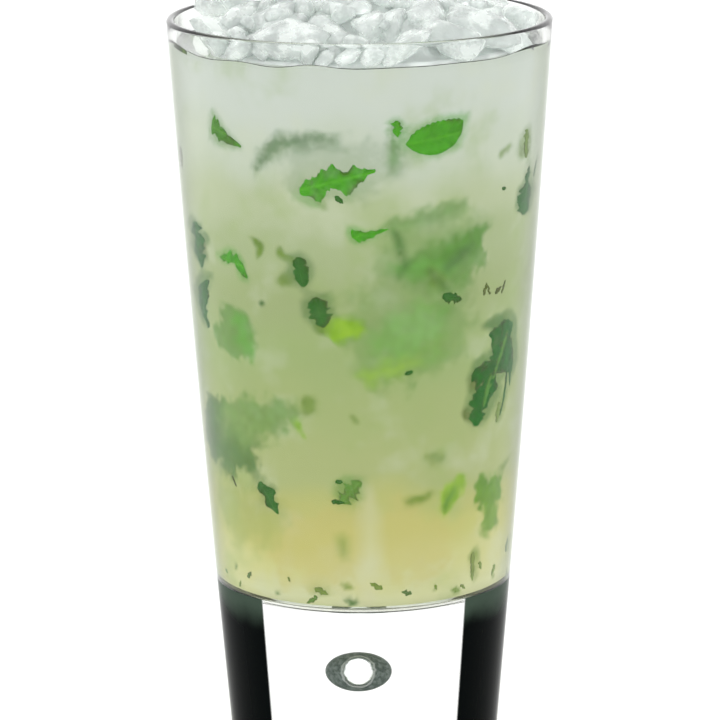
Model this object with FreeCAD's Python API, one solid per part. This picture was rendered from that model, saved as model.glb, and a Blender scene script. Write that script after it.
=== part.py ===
"""Tall tumbler with an air bubble in its thick base, full of a muddled mint drink and heaped with ice.

The frame's origin is the centre of the underside and +Z points up. Every length is in millimetres.
Nodes: glass (the tumbler with its sealed bubble), drink (the liquid up to its level) and ice (the heap that
floats on it and stands above the rim).
"""
import FreeCAD, Part
import math
import os
import random

# Tumbler
GLASS_HEIGHT = 154.0
BASE_RADIUS = 27.5
RIM_RADIUS = 39.6
WALL_BULGE = 0.45  # how far the wall stands out from a straight taper at half height
BASE_THICKNESS = 34.8
FLOOR_WALL = 2.3  # wall thickness where it meets the floor
RIM_WALL = 1.6
HEEL_RADIUS = 3.0
FLOOR_CORNER_RADIUS = 5.0
LIP_SHARE = 0.45  # lip rounding as a share of the rim's wall

# Air bubble on the axis of the base
BUBBLE_HALF_WIDTH = 4.5
BUBBLE_HALF_HEIGHT = 4.25
BUBBLE_HEIGHT = 18.8  # of its centre above the underside

# Drink
LEVEL_BELOW_RIM = 5.4
MENISCUS_RISE = 0.9
MENISCUS_WIDTH = 1.4
MENISCUS_SAG_OUT = 0.6  # where the meniscus sags most, as shares of its width and its rise
MENISCUS_SAG_UP = 0.3

# Crushed ice heap
HEAP_ABOVE_RIM = 12.5
HEAP_WALL_GAP = 0.3
HEAP_EDGE_HEIGHT = 2.2  # of the heap's outer edge above the drink
LUMP_COUNT = 64
LUMP_RADIUS_SMALL = 3.6
LUMP_RADIUS_LARGE = 7.4
LUMP_UNEVEN = 2.8  # how far a lump's top may lie under the dome
LUMP_STRAY = 3.2  # how far a lump may lie from its even place
LUMP_SEED = 41
DOME_FULLNESS = 2.2  # 2 is a plain parabola, and more is a flatter top with steeper sides
HEAP_SIDE_GAP = 5.4  # extra room beside the heap on its open side
OPEN_SIDE_ANGLE = 176.0  # degrees from +X to the middle of the open side
OPEN_SIDE_SPREAD = 24.0  # degrees over which the extra room fades out
RING_COUNT = 20
SPOKE_COUNT = 84

GOLDEN_ANGLE = math.pi * (3 - math.sqrt(5))
AXIS_FOOT = FreeCAD.Vector(0, 0, 0)
UP = FreeCAD.Vector(0, 0, 1)

level = GLASS_HEIGHT - LEVEL_BELOW_RIM


def point(radius, height):
    """A point of a half section, in the plane y = 0."""
    return FreeCAD.Vector(radius, 0, height)


def revolved(edges):
    """The solid that a closed half section sweeps about the tumbler's axis."""
    return Part.Face(Part.Wire(edges)).revolve(AXIS_FOOT, UP, 360)


def polyline(points):
    """Straight edges from each point to the next."""
    return [Part.LineSegment(a, b).toShape() for a, b in zip(points, points[1:])]


def outer_radius(height):
    """The tumbler's outer radius at a height, on a gently bulging taper."""
    share = height / GLASS_HEIGHT
    return BASE_RADIUS + (RIM_RADIUS - BASE_RADIUS) * share + 4 * WALL_BULGE * share * (1 - share)


def inner_radius(height):
    """The radius of the inside at a height, as the wall thins from the floor to the rim."""
    share = (height - BASE_THICKNESS) / (GLASS_HEIGHT - BASE_THICKNESS)
    return outer_radius(height) - FLOOR_WALL - (RIM_WALL - FLOOR_WALL) * share


def wall_edge(radius_at, low, high):
    """The wall's curve between two heights. A Bezier of three poles follows a quadratic radius exactly."""
    foot, head = radius_at(low), radius_at(high)
    middle = (low + high) / 2
    pole = 2 * radius_at(middle) - (foot + head) / 2
    curve = Part.BezierCurve()
    curve.setPoles([point(foot, low), point(pole, middle), point(head, high)])
    return curve.toShape()


def circle_edges(solid, radius, height):
    """The solid's round edges of about that radius at that height."""
    found = []
    for edge in solid.Edges:
        box = edge.BoundBox
        at_height = abs(box.ZMin - height) < 1e-3 and abs(box.ZMax - height) < 1e-3
        if at_height and abs(box.XMax - radius) < 1e-3:
            found.append(edge)
    return found


def filled_section(radius_at, low, high):
    """The solid inside a wall's curve, from height low to height high."""
    sides = [point(radius_at(high), high), point(0, high), point(0, low), point(radius_at(low), low)]
    return revolved([wall_edge(radius_at, low, high)] + polyline(sides))


def build_blank():
    """The tumbler as a full body, before its inside is taken out."""
    blank = filled_section(outer_radius, 0, GLASS_HEIGHT)
    return blank.makeFillet(HEEL_RADIUS, circle_edges(blank, BASE_RADIUS, 0))


def build_cavity():
    """What the tumbler holds when it is full to the brim."""
    cavity = filled_section(inner_radius, BASE_THICKNESS, GLASS_HEIGHT)
    corner = circle_edges(cavity, inner_radius(BASE_THICKNESS), BASE_THICKNESS)
    return cavity.makeFillet(FLOOR_CORNER_RADIUS, corner)


def build_bubble():
    """The air bubble, a slightly flattened ball."""
    ball = Part.makeSphere(1.0, AXIS_FOOT, UP)
    shape = FreeCAD.Matrix()
    shape.scale(BUBBLE_HALF_WIDTH, BUBBLE_HALF_WIDTH, BUBBLE_HALF_HEIGHT)
    shape.move(FreeCAD.Vector(0, 0, BUBBLE_HEIGHT))
    return ball.transformGeometry(shape)


def build_glass(cavity):
    """The tumbler, with its rounded lip and the sealed bubble."""
    glass = build_blank().cut(cavity)
    rim_edges = circle_edges(glass, RIM_RADIUS, GLASS_HEIGHT)
    rim_edges += circle_edges(glass, RIM_RADIUS - RIM_WALL, GLASS_HEIGHT)
    glass = glass.makeFillet(LIP_SHARE * RIM_WALL, rim_edges)
    return glass.cut(build_bubble())


def build_drink(cavity):
    """The liquid, which climbs the wall in a small meniscus."""
    wall = inner_radius(level)
    beyond = wall + MENISCUS_WIDTH
    crest = level + MENISCUS_RISE
    start = point(wall - MENISCUS_WIDTH, level)
    sag = point(start.x + MENISCUS_SAG_OUT * MENISCUS_WIDTH, level + MENISCUS_SAG_UP * MENISCUS_RISE)
    end = point(wall, crest)
    top = GLASS_HEIGHT + HEAP_ABOVE_RIM
    outline = [end, point(beyond, crest), point(beyond, top), point(0, top), point(0, level), start]
    air = revolved([Part.Arc(start, sag, end).toShape()] + polyline(outline))
    return cavity.cut(air)


def heap_radius():
    """The heap's plan radius where it reaches the meniscus."""
    return inner_radius(level) - MENISCUS_WIDTH - HEAP_WALL_GAP


def heap_reach(angle):
    """The heap's plan radius in a direction, less on its open side."""
    turn = math.degrees(angle) - OPEN_SIDE_ANGLE
    turn = (turn + 180) % 360 - 180
    return heap_radius() - HEAP_SIDE_GAP * math.exp(-((turn / OPEN_SIDE_SPREAD) ** 4))


def dome_height(share):
    """Height of the heap's general dome above the drink, at a share of its radius."""
    rise = LEVEL_BELOW_RIM + HEAP_ABOVE_RIM - HEAP_EDGE_HEIGHT
    return HEAP_EDGE_HEIGHT + rise * (1 - min(share, 1.0) ** DOME_FULLNESS)


def ice_lumps():
    """Centres, radii and crest heights of the lumps, spread evenly but each with its own stray and size."""
    chance = random.Random(LUMP_SEED)
    lumps = []
    for index in range(LUMP_COUNT):
        angle = index * GOLDEN_ANGLE
        share = math.sqrt((index + 0.5) / LUMP_COUNT)
        radius = chance.uniform(LUMP_RADIUS_SMALL, LUMP_RADIUS_LARGE)
        distance = share * (heap_reach(angle) - radius / 2)
        x = distance * math.cos(angle) + chance.uniform(-LUMP_STRAY, LUMP_STRAY)
        y = distance * math.sin(angle) + chance.uniform(-LUMP_STRAY, LUMP_STRAY)
        lumps.append((x, y, radius, dome_height(share) - chance.uniform(0, LUMP_UNEVEN)))
    return lumps


def surface_height(x, y, share, lumps):
    """Height of the heap's uneven top above the drink at one place."""
    highest = max(dome_height(share) - 2 * LUMP_UNEVEN, 0.5 * HEAP_EDGE_HEIGHT)
    for lump_x, lump_y, radius, crest in lumps:
        inside = radius ** 2 - (x - lump_x) ** 2 - (y - lump_y) ** 2
        if inside > 0:
            highest = max(highest, crest - radius + math.sqrt(inside))
    return highest


def build_ice():
    """The heap as one closed faceted solid, flat where it meets the drink."""
    lumps = ice_lumps()
    corners = [(0, 0, level), (0, 0, level + surface_height(0, 0, 0, lumps))]
    for ring in range(1, RING_COUNT + 1):
        share = ring / RING_COUNT
        for spoke in range(SPOKE_COUNT):
            angle = 2 * math.pi * spoke / SPOKE_COUNT
            reach = share * heap_reach(angle)
            x, y = reach * math.cos(angle), reach * math.sin(angle)
            corners.append((x, y, level + surface_height(x, y, share, lumps)))
    first_foot = len(corners)
    for x, y, _ in corners[-SPOKE_COUNT:]:
        corners.append((x, y, level))
    facets = []
    for spoke in range(SPOKE_COUNT):
        after = (spoke + 1) % SPOKE_COUNT
        facets.append((1, 2 + spoke, 2 + after))
        facets.append((0, first_foot + after, first_foot + spoke))
        for ring in range(RING_COUNT):
            inner, outer = 2 + ring * SPOKE_COUNT, 2 + (ring + 1) * SPOKE_COUNT
            facets.append((inner + spoke, outer + spoke, outer + after))
            facets.append((inner + spoke, outer + after, inner + after))
    shell = Part.Shape()
    shell.makeShapeFromMesh(([FreeCAD.Vector(*corner) for corner in corners], facets), 1e-4)
    return Part.makeSolid(shell)


def main():
    """Builds every node and writes it to its own file."""
    os.makedirs("parts", exist_ok=True)
    cavity = build_cavity()
    nodes = {"glass": build_glass(cavity), "drink": build_drink(cavity), "ice": build_ice()}
    for name, shape in nodes.items():
        shape.exportStep(f"parts/{name}.step")
        box = shape.optimalBoundingBox()
        print(
            f"{name}: valid {shape.isValid()}, {len(shape.Solids)} solid, {len(shape.Faces)} faces, "
            f"{shape.Volume / 1000:.1f} cm3, z {box.ZMin:.2f} to {box.ZMax:.2f}, "
            f"x {box.XMin:.2f} to {box.XMax:.2f}"
        )


main()
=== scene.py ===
"""A mojito in a tall tumbler: heavy clear foot with a bubble, cloudy drink, torn mint and crushed ice."""

import logging
import math
import random
from dataclasses import dataclass, field, replace
from enum import Enum
from typing import ClassVar

import bmesh
import bpy
import numpy as np
from mathutils import Matrix, Vector, noise


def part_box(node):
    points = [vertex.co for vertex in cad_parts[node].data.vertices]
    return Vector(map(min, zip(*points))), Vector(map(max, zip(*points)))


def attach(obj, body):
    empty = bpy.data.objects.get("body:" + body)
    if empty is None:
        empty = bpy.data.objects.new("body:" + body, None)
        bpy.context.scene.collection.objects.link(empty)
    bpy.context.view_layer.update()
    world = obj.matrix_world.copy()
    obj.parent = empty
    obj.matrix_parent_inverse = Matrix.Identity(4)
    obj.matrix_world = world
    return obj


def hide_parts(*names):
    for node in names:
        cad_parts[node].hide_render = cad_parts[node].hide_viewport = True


LOG = logging.getLogger("mojito")
MM = 0.001
Point = tuple[float, float]
Span = tuple[float, float]
Colour = tuple[float, float, float]
FROM_DEPTH = -1.0  # A scrap's haze that is worked out from its depth.

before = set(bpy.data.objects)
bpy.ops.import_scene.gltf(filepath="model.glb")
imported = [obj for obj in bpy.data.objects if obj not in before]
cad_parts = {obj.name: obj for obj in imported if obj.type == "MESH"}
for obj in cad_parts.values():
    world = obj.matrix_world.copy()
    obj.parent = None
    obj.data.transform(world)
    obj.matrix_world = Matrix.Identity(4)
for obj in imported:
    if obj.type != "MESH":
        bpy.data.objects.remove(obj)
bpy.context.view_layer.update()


class Tone(Enum):
    """Colours that a scrap of mint or a swirl of sugar may have, as linear red, green and blue."""

    DARK = (0.036, 0.135, 0.022)
    GREEN = (0.068, 0.225, 0.022)
    # A darker copy of DARK for scraps near the glass's turned-away sides: painted shade that offsets the
    # reflection there.
    PAINTED_SHADE = (0.007, 0.120, 0.004)
    BRIGHT = (0.065, 0.310, 0.018)
    LIME = (0.240, 0.440, 0.012)
    MOSS = (0.090, 0.250, 0.006)
    OLIVE = (0.130, 0.230, 0.028)
    BROWN = (0.090, 0.125, 0.022)
    CREAM = (0.540, 0.535, 0.350)
    KHAKI = (0.480, 0.425, 0.150)


class Cut(Enum):
    """Outlines that a scrap of mint may have: rows of (place along it, one edge, other edge)."""

    LEAF = (
        (0.0, 0.02, -0.02), (0.08, 0.22, -0.20), (0.20, 0.37, -0.36),
        (0.35, 0.46, -0.47), (0.50, 0.50, -0.50), (0.65, 0.50, -0.45),
        (0.80, 0.48, -0.32), (0.92, 0.44, -0.10), (1.0, 0.36, 0.24),
    )
    WEDGE = (
        (0.0, 0.30, -0.10), (0.06, 0.50, -0.38), (0.20, 0.46, -0.50),
        (0.38, 0.22, -0.46), (0.55, 0.08, -0.40), (0.75, 0.00, -0.32),
        (1.0, -0.16, -0.24),
    )
    HOOK = (
        (0.0, 0.02, -0.10), (0.15, 0.24, -0.22), (0.35, 0.48, -0.30),
        (0.55, 0.50, -0.12), (0.70, 0.40, -0.42), (0.85, 0.10, -0.50),
        (1.0, -0.30, -0.46),
    )
    STRIP = (
        (0.0, 0.20, -0.22), (0.12, 0.44, -0.40), (0.35, 0.50, -0.46),
        (0.60, 0.42, -0.50), (0.85, 0.34, -0.36), (1.0, 0.10, -0.12),
    )
    ROUND = (
        (0.0, 0.16, -0.14), (0.12, 0.38, -0.34), (0.32, 0.50, -0.46),
        (0.55, 0.46, -0.50), (0.75, 0.40, -0.40), (0.90, 0.24, -0.26),
        (1.0, 0.06, -0.10),
    )
    RAG = (
        (0.0, 0.06, -0.16), (0.10, 0.30, -0.40), (0.22, 0.28, -0.50),
        (0.34, 0.46, -0.26), (0.48, 0.50, -0.34), (0.60, 0.24, -0.48),
        (0.74, 0.34, -0.30), (0.88, 0.16, -0.12), (1.0, 0.08, 0.00),
    )


class Net:
    """The node tree of a material or of the world, with short ways to add to it."""

    def __init__(self, name: str, world: bool = False) -> None:
        """Starts an empty material or world.

        Args:
            name: Its name.
            world: Whether it is a world.
        """
        self.owner = (bpy.data.worlds if world else bpy.data.materials).new(name)
        self.owner.use_nodes = True
        self.tree = self.owner.node_tree
        self.tree.nodes.clear()
        self.output = self.tree.nodes.new("ShaderNodeOutputWorld" if world else "ShaderNodeOutputMaterial")

    def add(self, kind: str, settings: dict | None = None, **sockets: object) -> bpy.types.Node:
        """Adds a node.

        Args:
            kind: The node's type, without its ShaderNode prefix.
            settings: Properties to set on the node.
            **sockets: Values or sockets for its inputs, with _ for a space in an input's name.

        Returns:
            The node.
        """
        node = self.tree.nodes.new("ShaderNode" + kind)
        for key, value in (settings or {}).items():
            setattr(node, key, value)
        for key, value in sockets.items():
            self.feed(node.inputs[key.replace("_", " ")], value)
        return node

    def feed(self, socket: bpy.types.NodeSocket, value: object) -> None:
        """Links a socket to another, or gives it a value.

        Args:
            socket: The input to set.
            value: An output to link, a number, or a colour of three numbers.
        """
        if isinstance(value, bpy.types.NodeSocket):
            self.tree.links.new(value, socket)
        elif isinstance(value, tuple) and socket.type == "RGBA":
            socket.default_value = (*value, 1.0)
        else:
            socket.default_value = value

    def maths(self, way: str, a: object, b: object = 0.0, clamp: bool = False) -> bpy.types.NodeSocket:
        """Works out one number from two numbers or sockets.

        Args:
            way: The Math node's operation.
            a: First value.
            b: Second value.
            clamp: Whether the result is kept from 0 to 1.

        Returns:
            The result.
        """
        node = self.tree.nodes.new("ShaderNodeMath")
        node.operation, node.use_clamp = way, clamp
        self.feed(node.inputs[0], a)
        self.feed(node.inputs[1], b)
        return node.outputs[0]

    def plus(self, a: object, b: object) -> bpy.types.NodeSocket:
        """The sum of two numbers or sockets."""
        return self.maths("ADD", a, b)

    def less(self, a: object, b: object) -> bpy.types.NodeSocket:
        """The first number or socket less the second."""
        return self.maths("SUBTRACT", a, b)

    def times(self, a: object, b: object) -> bpy.types.NodeSocket:
        """The product of two numbers or sockets."""
        return self.maths("MULTIPLY", a, b)

    def blend(self, share: object, a: object, b: object, way: str = "MIX") -> bpy.types.NodeSocket:
        """Adds a blend of two colours.

        Args:
            share: How much of the second one.
            a: First colour.
            b: Second colour.
            way: The blend type.

        Returns:
            The blended colour.
        """
        node = self.tree.nodes.new("ShaderNodeMix")
        node.data_type, node.blend_type, node.clamp_factor = "RGBA", way, True
        self.feed(node.inputs[0], share)
        self.feed(node.inputs[6], a)
        self.feed(node.inputs[7], b)
        return node.outputs[2]

    def steps(self, value: object, stops: tuple, smooth: bool = True) -> bpy.types.NodeSocket:
        """Adds a colour ramp.

        Args:
            value: What the ramp reads.
            stops: Pairs of place and colour.
            smooth: Whether it eases between stops.

        Returns:
            The ramp's colour.
        """
        node = self.tree.nodes.new("ShaderNodeValToRGB")
        ramp = node.color_ramp
        ramp.interpolation = "EASE" if smooth else "LINEAR"
        while len(ramp.elements) < len(stops):
            ramp.elements.new(1.0)
        for element, (place, colour) in zip(ramp.elements, stops):
            element.position = place
            element.color = (*colour, 1.0)
        self.feed(node.inputs[0], value)
        return node.outputs[0]

    def span(self, value: object, low: float, high: float) -> bpy.types.NodeSocket:
        """Adds a smooth step.

        Args:
            value: What it reads.
            low: Where it gives 0.
            high: Where it gives 1.

        Returns:
            A number from 0 to 1.
        """
        node = self.tree.nodes.new("ShaderNodeMapRange")
        node.interpolation_type = "SMOOTHSTEP"
        self.feed(node.inputs["Value"], value)
        node.inputs["From Min"].default_value = low
        node.inputs["From Max"].default_value = high
        return node.outputs["Result"]

    def place(self) -> bpy.types.NodeSocket:
        """The point on the object, in metres."""
        return self.add("TexCoord").outputs["Object"]

    def height(self) -> bpy.types.NodeSocket:
        """The point's height above the tumbler's foot, in metres."""
        return self.add("SeparateXYZ", Vector=self.place()).outputs["Z"]

    def facing(self, **normal: bpy.types.NodeSocket) -> bpy.types.NodeSocket:
        """How far the surface, or a given normal, is turned from the line of sight, for glass."""
        return self.add("LayerWeight", Blend=0.5, **normal).outputs["Facing"]

    def carried(self, name: str) -> bpy.types.Node:
        """Adds the node that reads what each point of the mesh carries under a name."""
        return self.add("Attribute", {"attribute_name": name})

    def cloudiness(self, scale: float, detail: float = 3.0, roughness: float = 0.55) -> bpy.types.NodeSocket:
        """Adds soft noise in the object's own space.

        Args:
            scale: Its waves in each metre.
            detail: Its octaves.
            roughness: How strong the finer octaves are.

        Returns:
            A number of about 0.3 to 0.7.
        """
        node = self.add("TexNoise", Vector=self.place(), Scale=scale, Detail=detail, Roughness=roughness)
        return node.outputs["Fac"]

    def bump(self, height: object, distance: float, strength: float = 1.0) -> bpy.types.NodeSocket:
        """Adds relief.

        Args:
            height: What drives it.
            distance: Its depth in metres.
            strength: Its share of that depth.

        Returns:
            The normal.
        """
        return self.add("Bump", Height=height, Distance=distance, Strength=strength).outputs["Normal"]

    def finish(self, surface: bpy.types.Node) -> bpy.types.ID:
        """Joins the shader to the output.

        Args:
            surface: The surface's shader.

        Returns:
            The material or world.
        """
        self.tree.links.new(surface.outputs[0], self.output.inputs["Surface"])
        return self.owner


@dataclass(frozen=True)
class Patches:
    """Soft patches of noise: waves in each metre, octaves, the stretch of noise taken, and strength."""

    scale: float
    detail: float
    low: float
    high: float
    strength: float = 1.0

    def cover(self, net: Net) -> bpy.types.NodeSocket:
        """Adds the patches to a material.

        Args:
            net: The material.

        Returns:
            A number from 0 to their strength.
        """
        spread = net.span(net.cloudiness(self.scale, self.detail), self.low, self.high)
        return spread if self.strength == 1.0 else net.times(spread, self.strength)


@dataclass(frozen=True)
class WallGlass:
    """Clear soda glass of the tumbler's wall, very slightly wavy, with painted shade: darker where it is seen
    edge on, less so above the drink.
    """

    ior: float = 1.52
    tint: Colour = (0.985, 0.998, 0.990)
    # Painted shade colour for the parts of the wall seen edge on.
    edge: Colour = (0.20, 0.26, 0.14)
    painted_edge_shade_turn: Span = (0.50, 0.86)
    empty_part: Span = (0.1486, 0.1506)
    painted_shade_less_above_drink: float = 0.55
    gloss: Colour = (0.12, 0.12, 0.12)
    wave_scale: float = 45.0
    wave: float = 0.00002

    def material(self) -> bpy.types.Material:
        """Makes the finish.

        Returns:
            The material.
        """
        net = Net("clear_glass_wall")
        # Painted shade: the wall goes dark green-grey where it turns edge on to the eye, less so above the
        # drink.
        painted_shade_share = net.span(net.facing(), *self.painted_edge_shade_turn)
        empty = net.times(net.span(net.height(), *self.empty_part), self.painted_shade_less_above_drink)
        painted_shade_share = net.times(painted_shade_share, net.less(1.0, empty))
        shader = net.add(
            "BsdfPrincipled",
            Base_Color=net.blend(painted_shade_share, self.tint, self.edge),
            Roughness=0.0,
            IOR=self.ior,
            Transmission_Weight=1.0,
            Specular_Tint=self.gloss,
            Normal=net.bump(net.cloudiness(self.wave_scale, 1.0), self.wave),
        )
        return net.finish(shader)


@dataclass(frozen=True)
class FootGlass:
    """Glass of the heavy foot, with painted shade: its sides are painted near black where they turn away,
    standing in for the dark that thick glass shows there, greener towards their top.
    """

    ior: float = 1.52
    clear: Colour = (0.99, 1.0, 0.995)
    # Painted shade colours for the foot's turned-away sides.
    painted_dark_side: Colour = (0.0015, 0.0025, 0.0025)
    painted_green_side: Colour = (0.048, 0.072, 0.053)
    turn: Span = (0.316, 0.332)
    painted_green_side_part: Span = (0.0315, 0.0375)
    uneven_scale: float = 120.0
    uneven: float = 0.004
    gloss: float = 0.01

    def material(self) -> bpy.types.Material:
        """Makes the finish.

        Returns:
            The material.
        """
        net = Net("clear_glass_foot")
        # Painted shade: where the foot turns from the eye it lets no light through and is painted dark,
        # greener near its top.
        painted_shade_share = net.span(net.facing(), *self.turn)
        rise = net.plus(net.height(), net.times(net.cloudiness(self.uneven_scale), self.uneven))
        side = net.blend(net.span(rise, *self.painted_green_side_part), self.painted_dark_side, self.painted_green_side)
        shader = net.add(
            "BsdfPrincipled",
            Base_Color=net.blend(painted_shade_share, self.clear, side),
            Roughness=0.0,
            IOR=self.ior,
            Transmission_Weight=net.less(1.0, painted_shade_share),
            Specular_IOR_Level=self.gloss,
        )
        return net.finish(shader)


@dataclass(frozen=True)
class BubbleGlass:
    """The bubble's skin: clear in its middle, with a painted dark green-grey ring of shade where it turns
    away.
    """

    ior: float = 1.18
    clear: Colour = (0.97, 1.0, 0.985)
    # Painted shade colours of the bubble's ring.
    ring: Colour = (0.040, 0.062, 0.050)
    painted_ring_paler_shade: Colour = (0.110, 0.140, 0.124)
    turn: Span = (0.10, 0.17)
    tall: float = 0.4
    uneven_scale: float = 900.0
    uneven: float = 0.10
    mottle: Patches = Patches(1300.0, 3.0, 0.40, 0.62)
    gloss: float = 0.05

    def material(self) -> bpy.types.Material:
        """Makes the finish.

        Returns:
            The material.
        """
        net = Net("clear_glass_bubble")
        level = net.add("VectorMath", {"operation": "MULTIPLY"})
        net.feed(level.inputs[0], net.add("NewGeometry").outputs["Normal"])
        level.inputs[1].default_value = (1.0, 1.0, self.tall)
        flat = net.add("VectorMath", {"operation": "NORMALIZE"})
        net.feed(flat.inputs[0], level.outputs[0])
        uneven = net.times(net.less(net.cloudiness(self.uneven_scale), 0.5), self.uneven)
        # Painted shade: the ring where the flattened skin turns from the eye lets no light through and is
        # painted dark.
        painted_shade_share = net.span(net.plus(net.facing(Normal=flat.outputs[0]), uneven), *self.turn)
        ring = net.blend(self.mottle.cover(net), self.ring, self.painted_ring_paler_shade)
        shader = net.add(
            "BsdfPrincipled",
            Base_Color=net.blend(painted_shade_share, self.clear, ring),
            Roughness=0.0,
            IOR=self.ior,
            Transmission_Weight=net.less(1.0, painted_shade_share),
            Specular_IOR_Level=self.gloss,
        )
        return net.finish(shader)


@dataclass(frozen=True)
class DrinkColours:
    """The drink's own colour from its foot to its level."""

    foot: float = 0.0348
    level: float = 0.1486
    sway_scale: float = 38.0
    sway: float = 0.16
    stops: tuple = (
        (0.00, (0.530, 0.545, 0.315)),
        (0.08, (0.515, 0.515, 0.225)),
        (0.15, (0.460, 0.460, 0.158)),
        (0.20, (0.415, 0.425, 0.152)),
        (0.25, (0.350, 0.395, 0.170)),
        (0.38, (0.318, 0.380, 0.158)),
        (0.48, (0.292, 0.370, 0.152)),
        (0.58, (0.300, 0.362, 0.168)),
        (0.67, (0.338, 0.402, 0.215)),
        (0.74, (0.405, 0.460, 0.288)),
        (0.84, (0.478, 0.530, 0.428)),
        (0.94, (0.515, 0.560, 0.500)),
        (1.00, (0.520, 0.565, 0.510)),
    )

    def colour(self, net: Net) -> bpy.types.NodeSocket:
        """Adds the drink's colour at each height, with uneven layers.

        Args:
            net: The material that uses it.

        Returns:
            The colour.
        """
        share = net.maths("DIVIDE", net.less(net.height(), self.foot), self.level - self.foot)
        sway = net.times(net.less(net.cloudiness(self.sway_scale, 2.0), 0.5), self.sway)
        return net.steps(net.maths("ADD", share, sway, clamp=True), self.stops)


@dataclass(frozen=True)
class Liquid:
    """The thin clear part of the drink next to the wall."""

    ior: float = 1.335
    tint: Colour = (0.985, 0.995, 0.97)
    paler: Colour = (1.0, 1.0, 0.99)
    uneven_scale: float = 60.0
    gloss: Colour = (0.1, 0.1, 0.1)

    def material(self) -> bpy.types.Material:
        """Makes the finish.

        Returns:
            The material.
        """
        net = Net("cloudy_drink_liquid")
        shader = net.add(
            "BsdfPrincipled",
            Base_Color=net.blend(net.cloudiness(self.uneven_scale), self.tint, self.paler),
            Roughness=0.0,
            IOR=self.ior,
            Transmission_Weight=1.0,
            Specular_Tint=self.gloss,
        )
        return net.finish(shader)


@dataclass(frozen=True)
class Cloud:
    """The murk of lime, sugar and melted ice that fills the drink's middle, tinted by the mint deep in it."""

    colours: DrinkColours = DrinkColours()
    pale: Colour = (0.52, 0.56, 0.42)
    ghosts: Patches = Patches(95.0, 3.0, 0.48, 0.72, 0.30)
    leafy: Colour = (0.27, 0.37, 0.12)
    leaves: Patches = Patches(60.0, 4.0, 0.50, 0.72, 0.42)
    darker: Colour = (0.74, 0.80, 0.58)
    mottle: Patches = Patches(480.0, 3.0, 0.35, 0.68)
    tear_scale: float = 230.0
    tear_detail: float = 4.0
    tear_roughness: float = 0.7
    tear_gain: float = 1.7
    tear_least: float = 0.15
    stain_edge: Span = (0.18, 0.95)

    def material(self) -> bpy.types.Material:
        """Makes the finish.

        Returns:
            The material.
        """
        net = Net("cloudy_drink_murk")
        own = self.colours.colour(net)
        own = net.blend(self.ghosts.cover(net), own, self.pale)
        own = net.blend(self.leaves.cover(net), own, self.leafy)
        stain, calm = net.carried("stain"), net.carried("stain_calm").outputs["Fac"]
        torn = net.cloudiness(self.tear_scale, self.tear_detail, self.tear_roughness)
        torn = net.maths("MAXIMUM", net.plus(net.times(torn, self.tear_gain), self.tear_least), calm)
        cover = net.span(net.times(stain.outputs["Alpha"], torn), *self.stain_edge)
        mottle = net.maths("SUBTRACT", self.mottle.cover(net), calm, clamp=True)
        tint = stain.outputs["Color"]
        leaf = net.blend(mottle, tint, net.blend(1.0, tint, self.darker, "MULTIPLY"))
        own = net.blend(net.times(cover, net.carried("stain_strength").outputs["Fac"]), own, leaf)
        shader = net.add("BsdfPrincipled", Base_Color=own, Roughness=1.0, Specular_IOR_Level=0.0)
        return net.finish(shader)


@dataclass(frozen=True)
class Mint:
    """Mint leaf with veins and bruises, paler the deeper it hangs in the drink."""

    colours: DrinkColours = DrinkColours()
    midrib: Span = (0.015, 0.05)
    rib_count: float = 7.0
    rib_lean: float = 4.0
    rib: Span = (0.04, 0.16)
    rib_strength: float = 0.6
    vein_light: float = 0.35
    lit: Colour = (1.9, 1.45, 1.6)
    vein_depth: float = 0.0001
    mottle: Patches = Patches(700.0, 3.0, 0.35, 0.68, 0.6)
    darker: Colour = (0.50, 0.56, 0.38)
    bruise: Colour = (0.052, 0.060, 0.016)
    bruises: Patches = Patches(210.0, 2.0, 0.46, 0.66)
    bruise_rim: float = 0.35
    bruise_inside: float = 0.25
    bruise_strength: float = 0.6
    roughness: float = 0.6
    gloss: float = 0.02

    def veins(self, net: Net) -> bpy.types.NodeSocket:
        """Adds the midrib and the side ribs.

        Args:
            net: The material.

        Returns:
            A number that is 1 on the midrib.
        """
        along = net.add("SeparateXYZ", Vector=net.carried("blade").outputs["Vector"])
        side = net.maths("ABSOLUTE", along.outputs["Y"])
        midrib = net.less(1.0, net.span(side, *self.midrib))
        lean = net.less(net.times(along.outputs["X"], self.rib_count), net.times(side, self.rib_lean))
        wave = net.maths("ABSOLUTE", net.less(net.maths("FRACT", lean), 0.5))
        ribs = net.less(1.0, net.span(wave, *self.rib))
        return net.maths("MAXIMUM", midrib, net.times(ribs, self.rib_strength))

    def material(self) -> bpy.types.Material:
        """Makes the finish.

        Returns:
            The material.
        """
        net = Net("mint_leaf_near")
        tone, veins = net.carried("tone").outputs["Color"], self.veins(net)
        own = net.blend(self.mottle.cover(net), tone, net.blend(1.0, tone, self.darker, "MULTIPLY"))
        own = net.blend(net.times(veins, self.vein_light), own, net.blend(1.0, tone, self.lit, "MULTIPLY"))
        edge = net.less(1.0, net.span(net.carried("rim").outputs["Fac"], 0.0, self.bruise_rim))
        bruised = self.bruises.cover(net)
        bruised = net.maths("MULTIPLY", bruised, net.plus(edge, self.bruise_inside), clamp=True)
        own = net.blend(net.times(bruised, self.bruise_strength), own, self.bruise)
        own = net.blend(net.carried("haze").outputs["Fac"], own, self.colours.colour(net))
        shader = net.add(
            "BsdfPrincipled",
            Base_Color=own,
            Roughness=self.roughness,
            Specular_IOR_Level=self.gloss,
            Normal=net.bump(net.times(veins, -1.0), self.vein_depth, 0.6),
        )
        return net.finish(shader)


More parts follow.
